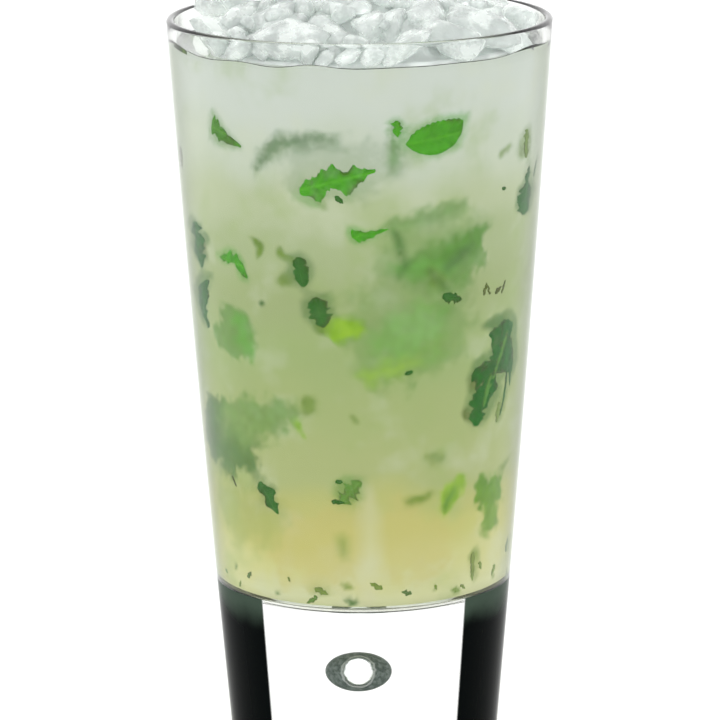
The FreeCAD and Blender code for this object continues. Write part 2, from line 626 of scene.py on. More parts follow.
@dataclass(frozen=True)
class Ice:
    """Wet crushed ice, partly frosted, with a faint painted glow that lifts its shade."""

    name: str
    tint: Colour = (0.955, 0.99, 0.975)
    frosted: Colour = (0.87, 0.915, 0.885)
    clearness: float = 0.73
    roughness: float = 0.12
    frost: Patches = Patches(260.0, 3.0, 0.42, 0.62)
    frost_dulls: float = 0.4
    frost_roughens: float = 0.2
    coarse_scale: float = 420.0
    fine_scale: float = 1500.0
    fine_share: float = 0.25
    relief: float = 0.0006
    relief_strength: float = 0.35
    # Painted light: strength of the ice's glow.
    painted_glow: float = 0.025
    ior: float = 1.31

    def material(self) -> bpy.types.Material:
        """Makes the finish.

        Returns:
            The material.
        """
        net = Net(self.name)
        frost = self.frost.cover(net)
        fine = net.times(net.cloudiness(self.fine_scale), self.fine_share)
        relief = net.plus(net.cloudiness(self.coarse_scale), fine)
        # Painted light: a faint glow in the ice's own tint, standing in for light scattered inside it.
        shader = net.add(
            "BsdfPrincipled",
            Base_Color=net.blend(frost, self.tint, self.frosted),
            Roughness=net.plus(net.times(frost, self.frost_roughens), self.roughness),
            IOR=self.ior,
            Transmission_Weight=net.less(self.clearness, net.times(frost, self.frost_dulls)),
            Emission_Color=self.tint,
            Emission_Strength=self.painted_glow,
            Normal=net.bump(relief, self.relief, self.relief_strength),
        )
        return net.finish(shader)


@dataclass(frozen=True)
class PaleFloor:
    """A plain pale studio floor, very slightly uneven."""

    colour: Colour = (0.93, 0.93, 0.93)
    darker: Colour = (0.916, 0.916, 0.916)
    uneven_scale: float = 6.0

    def material(self) -> bpy.types.Material:
        """Makes the finish.

        Returns:
            The material.
        """
        net = Net("pale_floor")
        own = net.blend(net.cloudiness(self.uneven_scale), self.colour, self.darker)
        return net.finish(net.add("BsdfPrincipled", Base_Color=own, Roughness=0.9, Specular_IOR_Level=0.1))


@dataclass
class Shell:
    """Points and faces in millimetres, with what each point carries, for one piece."""

    points: list = field(default_factory=list)
    faces: list = field(default_factory=list)
    slots: list = field(default_factory=list)
    carried: dict = field(default_factory=dict)
    kinds: ClassVar[dict] = {
        "tone": ("FLOAT_COLOR", "color"),
        "stain": ("FLOAT_COLOR", "color"),
        "blade": ("FLOAT_VECTOR", "vector"),
    }

    def add(self, points: list, faces: list, slot: int = 0, **carried: list) -> None:
        """Adds one closed part.

        Args:
            points: Its points.
            faces: Its faces, as indices into those points.
            slot: Which material it takes.
            **carried: For each attribute, one value for each point.
        """
        first = len(self.points)
        self.points.extend(points)
        self.faces.extend(tuple(first + corner for corner in face) for face in faces)
        self.slots.extend([slot] * len(faces))
        for name, values in carried.items():
            self.carried.setdefault(name, []).extend(values)

    def piece(self, name: str, slot: str, *materials: bpy.types.Material) -> bpy.types.Object:
        """Makes the object, smooth all over.

        Args:
            name: The piece's name.
            slot: The record's material slot; not used.
            *materials: Its materials in order.

        Returns:
            The object, riding on the one body.
        """
        mesh = bpy.data.meshes.new(name)
        mesh.from_pydata([tuple(MM * part for part in point) for point in self.points], [], self.faces)
        mesh.polygons.foreach_set("material_index", self.slots)
        mesh.polygons.foreach_set("use_smooth", [True] * len(self.faces))
        for key, values in self.carried.items():
            kind, prop = self.kinds.get(key, ("FLOAT", "value"))
            flat = np.array(values, dtype=np.float32).ravel()
            mesh.attributes.new(key, kind, "POINT").data.foreach_set(prop, flat)
        mesh.update()
        made = bpy.data.objects.new(name, mesh)
        bpy.context.collection.objects.link(made)
        for material in materials:
            mesh.materials.append(material)
        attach(made, "root")
        LOG.info("%s: %d points, %d faces", name, len(mesh.vertices), len(mesh.polygons))
        return made


def rounded(before: Point, corner: Point, after: Point, radius: float, steps: int) -> list[Point]:
    """Rounds the corner of a section.

    Args:
        before: A point on the way in.
        corner: The sharp corner.
        after: A point on the way out.
        radius: Radius of the rounding.
        steps: How many parts the arc has.

    Returns:
        The arc's points, from the way in to the way out.
    """
    at = Vector(corner)
    back = (Vector(before) - at).normalized()
    ahead = (Vector(after) - at).normalized()
    half = back.angle(ahead) / 2
    centre = at + (back + ahead).normalized() * (radius / math.sin(half))
    start = at + back * (radius / math.tan(half)) - centre
    end = at + ahead * (radius / math.tan(half)) - centre
    turn = start.angle_signed(end)
    arc = []
    for step in range(steps + 1):
        spot = centre + Matrix.Rotation(-turn * step / steps, 2) @ start
        arc.append((spot.x, spot.y))
    return arc


def turned_section(section: list[Point], slots: list[int], turns: int) -> tuple[list, list, list]:
    """Turns a half section about the axis.

    Args:
        section: Points of radius and height. A radius of 0 is a point on the axis.
        slots: The material slot of each run between points.
        turns: How many parts the full turn has.

    Returns:
        Points, faces and each face's slot.
    """
    points, rings = [], []
    for radius, height in section:
        if radius < 1e-9:
            rings.append([len(points)] * turns)
            points.append((0.0, 0.0, height))
            continue
        rings.append(list(range(len(points), len(points) + turns)))
        for turn in range(turns):
            angle = 2 * math.pi * turn / turns
            points.append((radius * math.cos(angle), radius * math.sin(angle), height))
    faces, face_slots = [], []
    for run, slot in enumerate(slots):
        for turn in range(turns):
            after = (turn + 1) % turns
            corners = (rings[run][turn], rings[run][after], rings[run + 1][after], rings[run + 1][turn])
            faces.append(tuple(dict.fromkeys(corners)))
            face_slots.append(slot)
    return points, faces, face_slots


@dataclass
class Tumbler:
    """The tall tapered glass with a bubble in its heavy foot. Sizes are in millimetres."""

    height: float = 154.0
    base_radius: float = 27.5
    rim_radius: float = 39.6
    bulge: float = 0.45
    base_thickness: float = 34.8
    floor_wall: float = 2.3
    rim_wall: float = 1.6
    heel_radius: float = 3.0
    corner_radius: float = 5.0
    lip_radius: float = 0.72
    bubble_half_width: float = 4.5
    bubble_half_height: float = 4.25
    bubble_height: float = 18.8
    bubble_aside: float = -0.75
    foot_reach: float = 2.6
    straight: float = 12.0
    lip_straight: float = 6.0
    turns: int = 288
    wall_steps: int = 40
    corner_steps: int = 16
    heel_steps: int = 10
    lip_steps: int = 8
    bubble_steps: int = 32
    bubble_turns: int = 96

    def outer_radius(self, height: float) -> float:
        """Outer radius at a height.

        Args:
            height: Height above the foot.

        Returns:
            The radius.
        """
        share = height / self.height
        taper = (self.rim_radius - self.base_radius) * share
        return self.base_radius + taper + 4 * self.bulge * share * (1 - share)

    def inner_radius(self, height: float) -> float:
        """Inner radius at a height.

        Args:
            height: Height above the foot.

        Returns:
            The radius.
        """
        share = (height - self.base_thickness) / (self.height - self.base_thickness)
        return self.outer_radius(height) - self.floor_wall - (self.rim_wall - self.floor_wall) * share

    def inside(self, top: float, grow: float = 0.0) -> list[Point]:
        """Half section of the hollow from the middle of its floor up its wall.

        Args:
            top: Height to stop at.
            grow: How far the section reaches into the glass.

        Returns:
            The section's points.
        """
        foot = self.base_thickness - grow
        corner = (self.inner_radius(foot) + grow, foot)
        high = foot + self.straight
        above = (self.inner_radius(high) + grow, high)
        arc = rounded((0.0, foot), corner, above, self.corner_radius + grow, self.corner_steps)
        points = [(0.0, foot), (arc[0][0] / 2, foot)] + arc
        start = arc[-1][1]
        for step in range(1, self.wall_steps + 1):
            height = start + (top - start) * step / self.wall_steps
            points.append((self.inner_radius(height) + grow, height))
        return points

    def outline(self) -> list[Point]:
        """Half section of the outside, from the middle of the foot up to the lip and over it.

        Returns:
            The section's points.
        """
        above = (self.outer_radius(self.straight), self.straight)
        heel = rounded((0.0, 0.0), (self.base_radius, 0.0), above, self.heel_radius, self.heel_steps)
        points = [(0.0, 0.0), (heel[0][0] / 2, 0.0)] + heel
        start, end = heel[-1][1], self.height - self.lip_radius
        for step in range(1, self.wall_steps * 2 + 1):
            height = start + (end - start) * step / (self.wall_steps * 2)
            points.append((self.outer_radius(height), height))
        points.pop()
        low = self.height - self.lip_straight
        rim = (self.rim_radius, self.height)
        lip = (self.rim_radius - self.rim_wall, self.height)
        points += rounded((self.outer_radius(low), low), rim, lip, self.lip_radius, self.lip_steps)
        points += rounded(rim, lip, (self.inner_radius(low), low), self.lip_radius, self.lip_steps)
        return points

    def add_bubble(self, shell: Shell) -> None:
        """Adds the bubble's skin, an ellipsoid.

        Args:
            shell: Where it goes.
        """
        section = [(0.0, self.bubble_height + self.bubble_half_height)]
        for step in range(1, self.bubble_steps):
            angle = math.pi * step / self.bubble_steps
            height = self.bubble_height + self.bubble_half_height * math.cos(angle)
            section.append((self.bubble_half_width * math.sin(angle), height))
        section.append((0.0, self.bubble_height - self.bubble_half_height))
        points, faces, _ = turned_section(section, [2] * self.bubble_steps, self.bubble_turns)
        shell.add([(x + self.bubble_aside, y, z) for x, y, z in points], faces, slot=2)

    def build(self) -> bpy.types.Object:
        """Makes the glass.

        Returns:
            The piece.
        """
        outside = self.outline()
        hollow = list(reversed(self.inside(self.height - 1.2 * self.lip_radius)))
        section = outside + hollow
        slots, foot_top = [], self.base_thickness + self.foot_reach
        for low, high in zip(section, section[1:]):
            is_foot = len(slots) < len(outside) and max(low[1], high[1]) < foot_top
            slots.append(1 if is_foot else 0)
        shell = Shell()
        points, faces, face_slots = turned_section(section, slots, self.turns)
        shell.add(points, faces)
        shell.slots = face_slots
        self.add_bubble(shell)
        finishes = [WallGlass().material(), FootGlass().material(), BubbleGlass().material()]
        made = shell.piece("tumbler", "clear_glass", *finishes)
        made.visible_diffuse = made.visible_shadow = False
        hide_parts("glass")
        return made


@dataclass(frozen=True)
class Scrap:
    """One scrap of mint or swirl of sugar, with lengths in millimetres and angles in degrees.

    Its middle is at an angle round the axis from the front, a height above the foot and a depth
    behind the wall. Haze is how much of the drink's colour covers it, and stray is how far a deep
    one's outline wanders.
    """

    cut: Cut
    tone: Tone
    angle: float
    height: float
    depth: float
    long: float
    wide: float
    turn: float = 0.0
    haze: float = FROM_DEPTH
    bow: float = 0.0
    fold: float = 0.15
    stray: float = 1.0


@dataclass
class Drink:
    """The liquid up to its level, with a cloud in its middle. Sizes are in millimetres."""

    glass: Tumbler
    level: float = 148.6
    meniscus_rise: float = 0.9
    meniscus_width: float = 1.4
    into_wall: float = 0.12
    meniscus_steps: int = 8
    climb_least: float = -0.35
    climb_noise: float = 0.5
    climb_scale: float = 0.09
    climb_from: float = 3.0
    climbs: tuple = (
        (-15, 0.6, 7),
        (64, 1.3, 12),
        (-76, 1.4, 12),
        (122, 2.2, 9),
        (178, 1.4, 14),
        (-130, 2.4, 8),
    )
    cloud_depths: tuple = (
        (35.3, 0.9),
        (40.0, 1.4),
        (48.0, 2.8),
        (64.0, 4.8),
        (94.0, 5.4),
        (134.0, 5.0),
        (147.8, 3.4),
    )
    cloud_top: float = 147.8
    corner_steps: int = 12
    top_rings: tuple = (0.9, 0.7, 0.45, 0.2, 0.0)
    swell_from: float = 2.0
    swell_rise: float = 20.0
    halvings: int = 22
    slope_reach: float = 0.03
    cloud_corner: float = 4.6
    cloud_straight: float = 12.0
    cloud_turns: int = 360
    cloud_rows: int = 215
    swell: float = 1.3
    swell_scale: float = 0.09
    warps: tuple = ((0.22, 3.4), (0.75, 2.0))
    warp_aside: tuple = (31.0, 17.0, 5.0)
    unwarped_width: float = 13.0
    sight_drop: float = 0.16
    haze_power: float = 1.6
    least_blur: float = 1.0
    blur: float = 0.8

    def build_liquid(self) -> bpy.types.Object:
        """Makes the liquid, which reaches just into the wall.

        Returns:
            The piece.
        """
        section = self.glass.inside(self.level + self.meniscus_rise, self.into_wall)
        wall = section[-1][0]
        for step in range(1, self.meniscus_steps + 1):
            share = step / self.meniscus_steps
            rise = self.meniscus_rise * (1 - share) ** 2
            section.append((wall - (self.meniscus_width + self.into_wall) * share, self.level + rise))
        section += [(wall / 2, self.level), (0.0, self.level)]
        shell = Shell()
        points, faces, _ = turned_section(section, [0] * (len(section) - 1), self.glass.turns)
        shell.add([self.climbed(point) for point in points], faces)
        made = shell.piece("drink_liquid", "cloudy_drink", Liquid().material())
        made.visible_diffuse = made.visible_shadow = False
        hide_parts("drink")
        return made

    def climbed(self, point: tuple) -> tuple:
        """Moves a point of the meniscus to where the liquid climbs the ice.

        Args:
            point: A point of the even meniscus.

        Returns:
            The point to use.
        """
        x, y, z = point
        start = self.glass.inner_radius(self.level) - self.meniscus_width
        share = (math.hypot(x, y) - start) / self.meniscus_width
        if share <= 0 or z < self.level - self.climb_from:
            return point
        angle = math.degrees(math.atan2(x, -y))
        climb = self.climb_noise * noise.noise(Vector((x, y, 0)) * self.climb_scale) + self.climb_least
        for middle, height, spread in self.climbs:
            turn = (angle - middle + 180) % 360 - 180
            climb += height * math.exp(-((turn / spread) ** 2))
        fade = min(1.0, (z - self.level + self.climb_from) / self.climb_from)
        return (x, y, z + climb * min(1.0, share) ** 2 * fade)

    def cloud_radius(self, height: float) -> float:
        """Radius of the murk at a height.

        Args:
            height: Height above the foot.

        Returns:
            The radius.
        """
        heights, depths = zip(*self.cloud_depths)
        return self.glass.inner_radius(height) - float(np.interp(height, heights, depths))

    def build_cloud(self, stains: list) -> bpy.types.Object:
        """Makes the murk, a soft uneven body.

        Args:
            stains: Scraps that hang so deep that they only tint it.

        Returns:
            The piece.
        """
        foot, rows = self.cloud_depths[0][0], self.cloud_rows
        high = foot + self.cloud_straight
        corner = (self.cloud_radius(foot + self.cloud_straight / 4), foot)
        side = (self.cloud_radius(high), high)
        arc = rounded((0.0, foot), corner, side, self.cloud_corner, self.corner_steps)
        section = [(0.0, foot), (arc[0][0] * 0.5, foot)] + arc
        start = arc[-1][1]
        for row in range(1, rows + 1):
            height = start + (self.cloud_top - start) * row / rows
            section.append((self.cloud_radius(height), height))
        edge = section[-1][0]
        section += [(edge * share, self.cloud_top) for share in self.top_rings]
        points, faces, _ = turned_section(section, [0] * (len(section) - 1), self.cloud_turns)
        swelled = []
        for x, y, z in points:
            reach = math.hypot(x, y)
            room = min(1.0, max(0.0, (z - foot - self.swell_from) / self.swell_rise))
            swell = self.swell * room * noise.noise(Vector((x, y, z)) * self.swell_scale) / max(reach, 1.0)
            swelled.append((x * (1 + swell), y * (1 + swell), z))
        shell = Shell()
        stain, strength, calm = (values.tolist() for values in self.stained(np.array(swelled), stains))
        shell.add(swelled, faces, stain=stain, stain_strength=strength, stain_calm=calm)
        made = shell.piece("drink_murk", "cloudy_drink", Cloud().material())
        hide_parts("drink")
        return made

    def wall_place(self, spots: np.ndarray) -> tuple[np.ndarray, np.ndarray, np.ndarray]:
        """Where points of the murk are seen on the inner wall, as the liquid enlarges what it holds.

        Args:
            spots: Points of the murk.

        Returns:
            For each point its angle from the front and its height on the wall, and its depth behind the wall.
        """
        outer = np.array([self.glass.outer_radius(z) for z in spots[:, 2]])
        inner = np.array([self.glass.inner_radius(z) for z in spots[:, 2]])
        own = np.maximum(np.hypot(spots[:, 0], spots[:, 1]), 1e-6)
        angle = np.arctan2(spots[:, 0], -spots[:, 1])
        low, high = np.zeros(len(spots)), np.minimum(outer, Liquid.ior * own)
        widest = self.seen_angle(high, outer, own)
        for _ in range(self.halvings):
            middle = (low + high) / 2
            short = self.seen_angle(middle, outer, own) < np.abs(angle)
            low, high = np.where(short, middle, low), np.where(short, high, middle)
        on_wall = self.seen_angle(low, outer, inner)
        spare = np.clip(np.abs(angle) - widest, 0, None)
        spare *= (math.pi - on_wall) / np.maximum(math.pi - widest, 1e-3)
        depth = np.clip(inner - own, 0, None)
        return np.sign(angle) * (on_wall + spare), spots[:, 2] + self.sight_drop * depth, depth

    def warp(self, spot: np.ndarray) -> tuple[float, float]:
        """How far a deep scrap's outline strays at a point, so that it looks torn and folded.

        Args:
            spot: The point.

        Returns:
            The stray along and across the scrap.
        """
        here, aside = Vector(spot), Vector(self.warp_aside)
        along = sum(reach * noise.noise(here * scale) for scale, reach in self.warps)
        across = sum(reach * noise.noise(here * scale + aside) for scale, reach in self.warps)
        return along, across

    def seen_angle(self, aside: np.ndarray, outer: np.ndarray, own: np.ndarray) -> np.ndarray:
        """Angle round the axis at which a sight line meets a radius inside the liquid.

        Args:
            aside: The sight line's distance from the axis, outside the glass.
            outer: Outer radius of the glass.
            own: The radius it meets.

        Returns:
            The angle in radians.
        """
        bent = aside / Liquid.ior
        return np.arcsin(aside / outer) - np.arcsin(bent / outer) + np.arcsin(np.clip(bent / own, 0, 1))

    def inside_of(self, scrap: Scrap, share: np.ndarray, across: np.ndarray) -> np.ndarray:
        """How far points lie inside a scrap's outline.

        Args:
            scrap: The scrap.
            share: The points' places along it.
            across: Their distances from its middle line.

        Returns:
            The distances, below nought outside.
        """
        places, uppers, lowers = zip(*scrap.cut.value)
        nearest = np.minimum(share, 1 - share) * scrap.long
        for values, side in ((uppers, 1), (lowers, -1)):
            ahead = np.interp(share + self.slope_reach, places, values)
            slope = (ahead - np.interp(share - self.slope_reach, places, values)) / (2 * self.slope_reach)
            slant = np.hypot(1.0, slope * scrap.wide / scrap.long)
            gap = side * (np.interp(share, places, values) * scrap.wide - across)
            nearest = np.minimum(nearest, gap / slant)
        return nearest

    def stained(self, spots: np.ndarray, stains: list) -> tuple[np.ndarray, np.ndarray, np.ndarray]:
        """Tints the murk where deep scraps hang in it.

        Args:
            spots: Points of the murk.
            stains: The deep scraps.

        Returns:
            For each point a colour whose alpha says how far inside a scrap it is, the tint's strength, and
            how smooth it is.
        """
        tint, strength, calm = np.zeros((len(spots), 4)), np.zeros(len(spots)), np.zeros(len(spots))
        angle, height, _ = self.wall_place(spots)
        wall = np.array([self.glass.inner_radius(z) for z in height])
        warp = np.array([self.warp(spot) for spot in spots])
        for scrap in stains:
            turn = math.radians(scrap.turn)
            around = (angle - math.radians(scrap.angle) + math.pi) % (2 * math.pi) - math.pi
            right, up = around * wall, height - scrap.height - self.sight_drop * scrap.depth
            along = right * math.cos(turn) + up * math.sin(turn)
            across = up * math.cos(turn) - right * math.sin(turn)
            reach = scrap.stray * min(1.0, scrap.wide / self.unwarped_width)
            along, across = along + warp[:, 0] * reach, across + warp[:, 1] * reach
            share = along / scrap.long + 0.5
            across = across - scrap.bow * scrap.long * (1 - (2 * share - 1) ** 2)
            blur = self.least_blur + self.blur * scrap.depth
            cover = np.clip(0.5 + self.inside_of(scrap, share, across) / blur, 0, 1)
            tint[:, :3] = tint[:, :3] * (1 - cover)[:, None] + np.array(scrap.tone.value) * cover[:, None]
            tint[:, 3] = tint[:, 3] * (1 - cover) + cover
            strength = strength * (1 - cover) + (1 - scrap.haze**self.haze_power) * cover
            calm = calm * (1 - cover) + (scrap.tone in (Tone.CREAM, Tone.KHAKI)) * cover
        share = np.maximum(tint[:, 3], 1e-4)
        tint[:, :3] /= share[:, None]
        return tint, strength / share, calm / share


FRONT_SCRAPS = (
    Scrap(Cut.ROUND, Tone.KHAKI, -18.0, 48.0, 8.0, 24.0, 17.0, 12, 0.64),
    Scrap(Cut.ROUND, Tone.KHAKI, 21.0, 49.0, 8.0, 21.0, 15.0, -10, 0.66),
    Scrap(Cut.STRIP, Tone.CREAM, 2.6, 48.5, 3.4, 27.0, 4.2, 90, 0.70, stray=0.5),
    Scrap(Cut.ROUND, Tone.GREEN, 19.0, 100.0, 9.0, 36.0, 26.0, 60, 0.80),
    Scrap(Cut.ROUND, Tone.GREEN, 20.0, 92.0, 7.0, 24.0, 17.0, 15, 0.74),
    Scrap(Cut.ROUND, Tone.GREEN, 27.0, 111.0, 7.0, 24.0, 13.0, 10, 0.76),
    Scrap(Cut.ROUND, Tone.DARK, -4.0, 128.0, 7.0, 26.0, 12.0, 10, 0.86),
    Scrap(Cut.WEDGE, Tone.GREEN, -47.0, 134.0, 0.5, 8.8, 5.8, -14, fold=0.1),
    Scrap(Cut.STRIP, Tone.BROWN, -82.0, 126.0, 1.6, 4.6, 3.0, -85),
    Scrap(Cut.STRIP, Tone.DARK, -21.7, 130.5, 4.2, 19.0, 4.0, 22, 0.48, bow=0.16),
    Scrap(Cut.RAG, Tone.BRIGHT, -7.5, 126.0, 0.8, 16.0, 8.0, 14, fold=0.3),
    Scrap(Cut.WEDGE, Tone.OLIVE, -13.0, 123.0, 1.8, 5.5, 3.0, -60, 0.34),
    Scrap(Cut.ROUND, Tone.DARK, -7.0, 122.2, 0.5, 2.2, 1.6, -40),
    Scrap(Cut.RAG, Tone.BRIGHT, 11.5, 136.5, 0.7, 3.4, 3.2, -90),
    Scrap(Cut.STRIP, Tone.GREEN, 11.0, 132.5, 2.4, 9.0, 2.8, -92, 0.41),
    Scrap(Cut.LEAF, Tone.BRIGHT, 24.4, 134.2, 0.5, 13.0, 6.9, 8, fold=0.12),
    Scrap(Cut.STRIP, Tone.OLIVE, 52.0, 129.5, 2.2, 3.6, 1.4, 30, 0.34),
    Scrap(Cut.ROUND, Tone.OLIVE, 62.0, 129.0, 3.8, 4.4, 4.0, 70, 0.48),
    Scrap(Cut.STRIP, Tone.OLIVE, 65.6, 130.0, 0.6, 6.0, 3.0, -82, fold=0.3),
    Scrap(Cut.STRIP, Tone.BROWN, 86.0, 132.5, 0.8, 2.4, 2.0, 80),
    Scrap(Cut.RAG, Tone.PAINTED_SHADE, 68.0, 123.3, 0.5, 3.6, 3.4, 70),
    Scrap(Cut.STRIP, Tone.PAINTED_SHADE, 74.5, 124.0, 0.5, 3.4, 0.8, 72),
    Scrap(Cut.ROUND, Tone.PAINTED_SHADE, 67.5, 118.4, 0.5, 6.6, 8.6, -95),
    Scrap(Cut.ROUND, Tone.DARK, 53.0, 121.9, 0.4, 1.2, 1.0),
    Scrap(Cut.WEDGE, Tone.BRIGHT, 2.8, 115.6, 0.7, 7.4, 3.8, 20),
    Scrap(Cut.STRIP, Tone.GREEN, 22.0, 118.0, 3.6, 16.0, 2.6, 12, 0.52),
    Scrap(Cut.RAG, Tone.PAINTED_SHADE, -68.5, 109.2, 0.5, 9.4, 10.0, -84),
    Scrap(Cut.ROUND, Tone.BROWN, -64.0, 108.5, 1.6, 3.0, 2.4, 40, 0.37),
    Scrap(Cut.HOOK, Tone.BRIGHT, -47.8, 107.4, 0.5, 8.2, 4.8, -12),
    Scrap(Cut.STRIP, Tone.OLIVE, -37.4, 111.2, 1.5, 5.0, 2.0, -75, 0.30, bow=0.25),
    Scrap(Cut.WEDGE, Tone.OLIVE, -25.0, 110.2, 1.6, 5.2, 2.4, -28, 0.30),
    Scrap(Cut.ROUND, Tone.DARK, -20.6, 107.0, 0.8, 6.2, 4.6, -80),
    Scrap(Cut.ROUND, Tone.OLIVE, -26.5, 104.6, 2.4, 3.4, 2.6, 0, 0.44),
    Scrap(Cut.WEDGE, Tone.PAINTED_SHADE, -66.5, 97.0, 0.5, 9.0, 11.0, -66),
    Scrap(Cut.ROUND, Tone.GREEN, -50.5, 92.3, 3.6, 12.6, 11.5, 80, 0.53),
    Scrap(Cut.RAG, Tone.BRIGHT, -44.0, 91.8, 2.6, 9.4, 6.0, -80, 0.44),
    Scrap(Cut.ROUND, Tone.DARK, -35.7, 99.7, 1.0, 1.5, 1.2, 0, 0.30),
    Scrap(Cut.ROUND, Tone.DARK, -14.6, 98.8, 0.8, 6.4, 6.0, -70, fold=0.3),
    Scrap(Cut.WEDGE, Tone.OLIVE, -14.5, 96.0, 1.6, 3.6, 2.6, 110, 0.37),
    Scrap(Cut.ROUND, Tone.LIME, -4.5, 95.5, 1.2, 7.4, 6.4, 10, 0.28),
    Scrap(Cut.WEDGE, Tone.LIME, -9.0, 96.3, 2.2, 3.4, 1.8, 170, 0.34),
    Scrap(Cut.LEAF, Tone.GREEN, 30.0, 107.0, 3.4, 19.0, 10.5, 14, 0.48),
    Scrap(Cut.RAG, Tone.GREEN, 32.0, 110.3, 1.4, 15.5, 6.0, 30, 0.30),
    Scrap(Cut.STRIP, Tone.BRIGHT, 21.0, 107.2, 2.0, 13.0, 3.0, -6, 0.46),
    Scrap(Cut.ROUND, Tone.OLIVE, 25.5, 105.4, 1.2, 4.6, 3.0, -40, 0.30),
    Scrap(Cut.RAG, Tone.GREEN, 40.0, 112.0, 1.8, 7.4, 4.4, 38, 0.33),
    Scrap(Cut.STRIP, Tone.DARK, 33.5, 108.8, 1.6, 7.8, 2.2, 34, 0.33),
    Scrap(Cut.STRIP, Tone.DARK, 12.2, 112.2, 1.0, 7.6, 1.5, -70, 0.28, bow=0.06),
    Scrap(Cut.STRIP, Tone.DARK, 14.2, 107.8, 1.4, 3.8, 0.9, -125, 0.30),
    Scrap(Cut.STRIP, Tone.DARK, 26.5, 104.8, 1.4, 6.4, 1.1, -46, 0.33),
    Scrap(Cut.ROUND, Tone.DARK, 32.3, 100.8, 0.5, 4.7, 3.0, -12),
    Scrap(Cut.RAG, Tone.BROWN, 46.4, 101.6, 0.4, 2.6, 1.4, 70),
    Scrap(Cut.RAG, Tone.BROWN, 48.2, 101.3, 0.4, 2.2, 1.0, 110),
    Scrap(Cut.RAG, Tone.BROWN, 53.4, 100.8, 0.4, 2.2, 1.6, 30),
    Scrap(Cut.STRIP, Tone.BROWN, 56.2, 101.2, 0.4, 2.8, 0.7, 68),
    Scrap(Cut.ROUND, Tone.GREEN, 28.2, 97.6, 2.8, 5.6, 4.0, 20, 0.44),
    Scrap(Cut.STRIP, Tone.DARK, 50.4, 93.6, 2.0, 5.4, 1.8, 4, 0.37),
    Scrap(Cut.ROUND, Tone.DARK, 55.4, 93.9, 1.2, 2.0, 1.6, 90, 0.34),
    Scrap(Cut.ROUND, Tone.BRIGHT, 17.0, 93.5, 4.6, 15.0, 12.5, 25, 0.62),
    Scrap(Cut.RAG, Tone.LIME, 9.5, 86.4, 3.0, 12.5, 4.4, 12, 0.53),
    Scrap(Cut.ROUND, Tone.DARK, 16.7, 86.0, 0.5, 1.8, 1.5, 20),
    Scrap(Cut.RAG, Tone.PAINTED_SHADE, 54.6, 84.6, 0.7, 19.5, 11.5, -117, fold=0.25),
    Scrap(Cut.ROUND, Tone.PAINTED_SHADE, 50.0, 82.2, 0.6, 9.0, 7.5, -30),
    Scrap(Cut.STRIP, Tone.GREEN, 56.5, 86.0, 0.4, 12.0, 1.6, -114),
    Scrap(Cut.STRIP, Tone.GREEN, 50.6, 80.0, 0.4, 7.0, 1.8, -104),
    Scrap(Cut.ROUND, Tone.PAINTED_SHADE, 61.0, 92.0, 0.5, 4.6, 5.4, 20),
    Scrap(Cut.LEAF, Tone.PAINTED_SHADE, 61.5, 86.5, 0.6, 9.0, 7.0, -82),
    Scrap(Cut.ROUND, Tone.PAINTED_SHADE, 47.6, 77.0, 0.8, 8.4, 7.2, -100),
    Scrap(Cut.STRIP, Tone.PAINTED_SHADE, 61.0, 79.0, 0.5, 10.5, 0.9, -98, bow=0.06),
    Scrap(Cut.STRIP, Tone.PAINTED_SHADE, 65.0, 83.0, 0.5, 7.0, 1.0, -84),
    Scrap(Cut.STRIP, Tone.OLIVE, 58.6, 74.6, 0.6, 4.2, 1.8, -100, 0.20, fold=0.1),
    Scrap(Cut.ROUND, Tone.BROWN, 43.4, 81.6, 1.4, 3.2, 2.4, -50, 0.34),
    Scrap(Cut.ROUND, Tone.BROWN, 41.0, 75.4, 1.4, 3.4, 2.0, -40, 0.34),
    Scrap(Cut.ROUND, Tone.DARK, -59.0, 68.5, 5.0, 19.0, 17.0, 20, 0.40),
    Scrap(Cut.ROUND, Tone.DARK, -66.0, 70.0, 3.0, 15.0, 12.5, 40, 0.30),
    Scrap(Cut.ROUND, Tone.GREEN, -44.0, 73.5, 5.0, 20.0, 10.0, 14, 0.60),
    Scrap(Cut.ROUND, Tone.OLIVE, -52.0, 53.0, 6.5, 20.0, 15.0, 10, 0.84),
    Scrap(Cut.RAG, Tone.DARK, -60.5, 70.6, 3.0, 5.5, 3.4, 60, 0.52),
    Scrap(Cut.STRIP, Tone.LIME, -23.0, 74.1, 1.4, 4.4, 1.6, -58, 0.31),
    Scrap(Cut.ROUND, Tone.OLIVE, -18.6, 78.4, 3.2, 4.6, 3.8, 80, 0.48),
    Scrap(Cut.ROUND, Tone.GREEN, -31.0, 76.5, 4.6, 7.0, 5.6, 60, 0.57),
    Scrap(Cut.RAG, Tone.OLIVE, -2.7, 76.4, 1.2, 2.2, 1.2, -50, 0.34),
    Scrap(Cut.RAG, Tone.DARK, -38.4, 58.6, 0.5, 7.6, 5.0, -58),
    Scrap(Cut.ROUND, Tone.GREEN, -4.6, 61.2, 1.1, 6.0, 5.6, 50, 0.16, fold=0.3),
    Scrap(Cut.RAG, Tone.DARK, -9.5, 59.0, 0.8, 2.8, 1.6, -10),
    Scrap(Cut.ROUND, Tone.DARK, -9.0, 63.3, 0.7, 1.6, 1.3),
    Scrap(Cut.STRIP, Tone.OLIVE, 22.0, 59.2, 1.6, 5.8, 2.0, 16, 0.30),
    Scrap(Cut.STRIP, Tone.LIME, 36.0, 59.4, 1.6, 9.6, 4.2, 50, 0.42),
    Scrap(Cut.STRIP, Tone.GREEN, 34.6, 58.2, 1.4, 5.6, 2.0, 56, 0.34),
    Scrap(Cut.ROUND, Tone.MOSS, 56.0, 57.5, 2.6, 9.6, 9.4, 70, 0.30),
    Scrap(Cut.ROUND, Tone.MOSS, 57.6, 50.8, 2.4, 6.8, 6.4, 0, 0.36),
